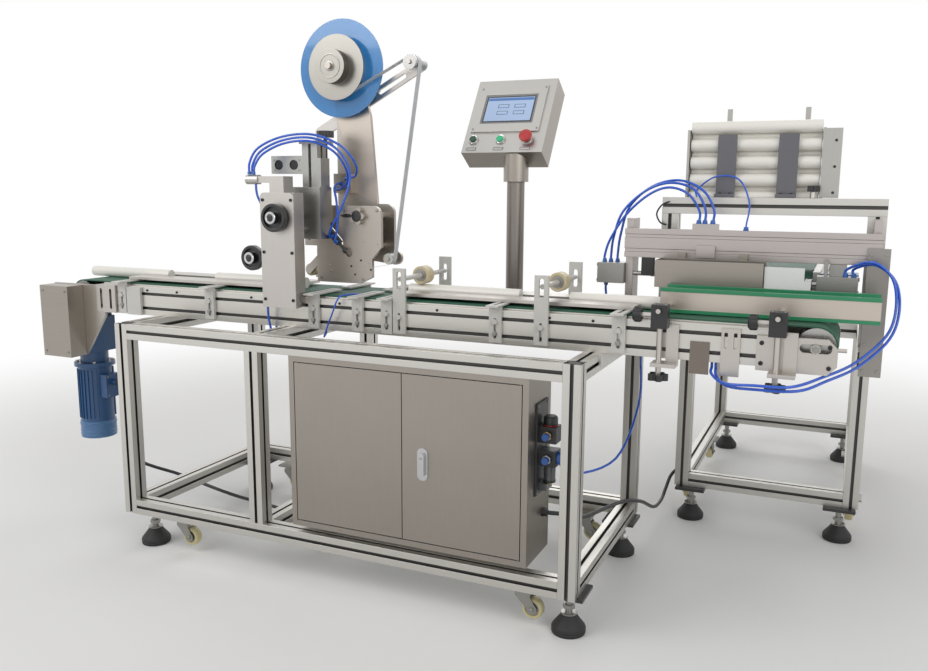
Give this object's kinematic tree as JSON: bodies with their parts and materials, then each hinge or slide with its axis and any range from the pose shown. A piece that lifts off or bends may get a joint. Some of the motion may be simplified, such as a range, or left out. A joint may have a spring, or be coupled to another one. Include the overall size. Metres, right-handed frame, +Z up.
{
  "type": "tube tape applicator",
  "caption": "Tube tape applicator: slotted aluminium frames with a belt conveyor, tape head with reel, press rollers, console, control cabinet and a hopper-fed tube infeed.",
  "frame": {"origin": "floor under the middle of the front left foot pad of the main frame", "axes": "+X along the belt conveyor from its drive end to the infeed, +Y away from the operator's side, +Z up"},
  "size_m": [2.2328, 1.7313, 1.397],
  "materials": {
    "aluminium": "satin",
    "bright_aluminium": "satin",
    "stainless": "brushed",
    "steel": "satin",
    "chrome": "polished",
    "blue_paint": "gloss",
    "white_plate": "satin",
    "green_belt": "matte",
    "green_strip": "satin",
    "black_rubber": "matte",
    "black_plastic": "satin",
    "cream_wheel": "satin",
    "white_tube": "satin",
    "tape_white": "gloss",
    "blue_film": "gloss",
    "blue_hose": "gloss",
    "red_plastic": "gloss",
    "green_plastic": "gloss",
    "dark_green_plastic": "gloss"
  },
  "bodies": {
    "machine": {"main_frame": "aluminium", "levelling_feet": "black_rubber", "infeed_frame": "aluminium", "caster_forks": "steel", "cabinet_body": "stainless", "air_service_unit": "blue_paint", "conveyor_beams": "bright_aluminium", "conveyor_belts": "green_belt", "pulley_plates": "bright_aluminium", "drive_cover": "stainless", "gear_motor": "blue_paint", "drive_chain": "steel", "guide_brackets": "white_plate", "tube_guides": "bright_aluminium", "roller_brackets": "white_plate", "guide_clamps": "black_plastic", "product_tubes": "white_tube", "tower": "bright_aluminium", "hmi_post": "stainless", "gantry": "bright_aluminium", "infeed_conveyor": "aluminium", "hopper_frame": "aluminium", "feed_tray": "stainless", "air_cylinders": "bright_aluminium", "air_hoses": "blue_hose", "cables": "black_rubber"},
    "drive_pulley": {"drive_pulley": "steel"},
    "tail_pulley": {"tail_pulley": "steel"},
    "motor_sprocket": {"motor_sprocket": "steel"},
    "press_roller_left": {"press_roller_left": "cream_wheel"},
    "press_roller_right": {"press_roller_right": "cream_wheel"},
    "column": {"head_column": "aluminium"},
    "head": {"head_plates": "bright_aluminium", "dancer_arm": "bright_aluminium", "tape_strip": "tape_white", "head_hoses": "blue_hose"},
    "reel": {"tape_roll": "tape_white", "reel_disc": "blue_film", "reel_flange": "aluminium"},
    "top_roller": {"top_roller": "steel"},
    "lower_roller": {"lower_roller": "white_tube"},
    "tape_wheel": {"tape_wheel": "cream_wheel"},
    "press_rod": {"press_rod": "black_plastic"},
    "front_handwheel": {"front_handwheel": "black_plastic"},
    "side_handwheel": {"side_handwheel": "black_plastic"},
    "height_knob": {"height_knob": "black_plastic"},
    "left_door": {"cabinet_door_left": "stainless"},
    "right_door": {"cabinet_door_right": "stainless"},
    "latch": {"door_latch": "chrome"},
    "console": {"hmi_box": "stainless"},
    "estop": {"estop_button": "red_plastic"},
    "start": {"start_button": "green_plastic"},
    "stop": {"stop_button": "dark_green_plastic"},
    "pusher": {"pusher_rod": "white_plate"},
    "side_rod": {"side_rod": "steel"},
    "infeed_roller": {"infeed_drive_roller": "steel"},
    "main_left_wheels": {"main_casters_left": "cream_wheel"},
    "main_right_wheels": {"main_casters_right": "cream_wheel"},
    "infeed_front_wheels": {"infeed_casters_front": "cream_wheel"},
    "infeed_rear_wheels": {"infeed_casters_rear": "cream_wheel"}
  },
  "joints": [
    {"name": "drive_spin", "type": "hinge", "parent": "machine", "child": "drive_pulley", "pos_m": [-0.336, 0.215, 0.665], "axis": [0, 1, 0], "continuous": true},
    {"name": "tail_spin", "type": "hinge", "parent": "machine", "child": "tail_pulley", "pos_m": [1.66, 0.215, 0.665], "axis": [0, 1, 0], "continuous": true},
    {"name": "motor_spin", "type": "hinge", "parent": "machine", "child": "motor_sprocket", "pos_m": [-0.358, 0.048, 0.555], "axis": [0, 1, 0], "continuous": true},
    {"name": "press_left_spin", "type": "hinge", "parent": "machine", "child": "press_roller_left", "pos_m": [0.7255, 0.215, 0.759], "axis": [0, 1, 0], "continuous": true},
    {"name": "press_right_spin", "type": "hinge", "parent": "machine", "child": "press_roller_right", "pos_m": [1.0855, 0.215, 0.759], "axis": [0, 1, 0], "continuous": true},
    {"name": "cross_slide", "type": "slide", "parent": "machine", "child": "column", "axis": [0, 1, 0], "range_m": [-0.015, 0.015]},
    {"name": "head_lift", "type": "slide", "parent": "column", "child": "head", "axis": [0, 0, 1], "range_m": [0, 0.03]},
    {"name": "reel_spin", "type": "hinge", "parent": "head", "child": "reel", "pos_m": [0.485, 0.215, 1.275], "axis": [0, 1, 0], "continuous": true},
    {"name": "top_roller_spin", "type": "hinge", "parent": "head", "child": "top_roller", "pos_m": [0.699, 0.223, 1.277], "axis": [0, 1, 0], "continuous": true},
    {"name": "lower_roller_spin", "type": "hinge", "parent": "head", "child": "lower_roller", "pos_m": [0.629, 0.215, 0.796], "axis": [0, 1, 0], "continuous": true},
    {"name": "tape_wheel_spin", "type": "hinge", "parent": "head", "child": "tape_wheel", "pos_m": [0.394, 0.215, 0.759], "axis": [0, 1, 0], "continuous": true},
    {"name": "press_stroke", "type": "slide", "parent": "head", "child": "press_rod", "axis": [0.682, 0, -0.7314], "range_m": [0, 0.012]},
    {"name": "front_handwheel_turn", "type": "hinge", "parent": "machine", "child": "front_handwheel", "pos_m": [0.409, 0.025, 0.901], "axis": [0, 1, 0], "range_deg": [-1080, 1080]},
    {"name": "side_handwheel_turn", "type": "hinge", "parent": "machine", "child": "side_handwheel", "pos_m": [0.314, 0.065, 0.797], "axis": [0, 1, 0], "continuous": true},
    {"name": "height_knob_turn", "type": "hinge", "parent": "column", "child": "height_knob", "pos_m": [0.465, 0.178, 1.106], "axis": [0, 0, 1], "range_deg": [0, 2160]},
    {"name": "left_door_hinge", "type": "hinge", "parent": "machine", "child": "left_door", "pos_m": [0.521, -0.054, 0.368], "axis": [0, 0, 1], "range_deg": [-100, 0]},
    {"name": "right_door_hinge", "type": "hinge", "parent": "machine", "child": "right_door", "pos_m": [1.091, -0.054, 0.368], "axis": [0, 0, 1], "range_deg": [0, 100]},
    {"name": "latch_turn", "type": "hinge", "parent": "right_door", "child": "latch", "pos_m": [0.86, -0.05, 0.359], "axis": [0, 1, 0], "range_deg": [0, 90]},
    {"name": "console_swivel", "type": "hinge", "parent": "machine", "child": "console", "pos_m": [0.86, 0.509, 1], "axis": [0, 0, 1], "range_deg": [-90, 90]},
    {"name": "stop_press", "type": "slide", "parent": "console", "child": "stop", "axis": [0, 0.8387, -0.5446], "range_m": [0, 0.003], "stiffness_N_per_m": 400},
    {"name": "start_press", "type": "slide", "parent": "console", "child": "start", "axis": [0, 0.8387, -0.5446], "range_m": [0, 0.003], "stiffness_N_per_m": 400},
    {"name": "estop_press", "type": "slide", "parent": "console", "child": "estop", "axis": [0, 0.8387, -0.5446], "range_m": [0, 0.005], "stiffness_N_per_m": 600},
    {"name": "pusher_stroke", "type": "slide", "parent": "machine", "child": "pusher", "axis": [-1, 0, 0], "range_m": [0, 0.06]},
    {"name": "side_rod_stroke", "type": "slide", "parent": "machine", "child": "side_rod", "axis": [1, 0, 0], "range_m": [0, 0.03]},
    {"name": "infeed_spin", "type": "hinge", "parent": "machine", "child": "infeed_roller", "pos_m": [1.514, 0.407, 0.767], "axis": [1, 0, 0], "continuous": true},
    {"name": "main_left_roll", "type": "hinge", "parent": "machine", "child": "main_left_wheels", "pos_m": [0.139, 0.235, 0.045], "axis": [0, 1, 0], "continuous": true},
    {"name": "main_right_roll", "type": "hinge", "parent": "machine", "child": "main_right_wheels", "pos_m": [1.114, 0.235, 0.045], "axis": [0, 1, 0], "continuous": true},
    {"name": "infeed_front_roll", "type": "hinge", "parent": "machine", "child": "infeed_front_wheels", "pos_m": [1.5265, 0.937, 0.045], "axis": [1, 0, 0], "continuous": true},
    {"name": "infeed_rear_roll", "type": "hinge", "parent": "machine", "child": "infeed_rear_wheels", "pos_m": [1.5265, 1.382, 0.045], "axis": [1, 0, 0], "continuous": true}
  ],
  "couplings": [
    {"joint": "tail_spin", "follows": "drive_spin", "ratio": 1},
    {"joint": "motor_spin", "follows": "drive_spin", "ratio": 1},
    {"joint": "front_handwheel_turn", "follows": "cross_slide", "rad_per_m": 1256.6},
    {"joint": "height_knob_turn", "follows": "head_lift", "rad_per_m": 1256.6}
  ]
}
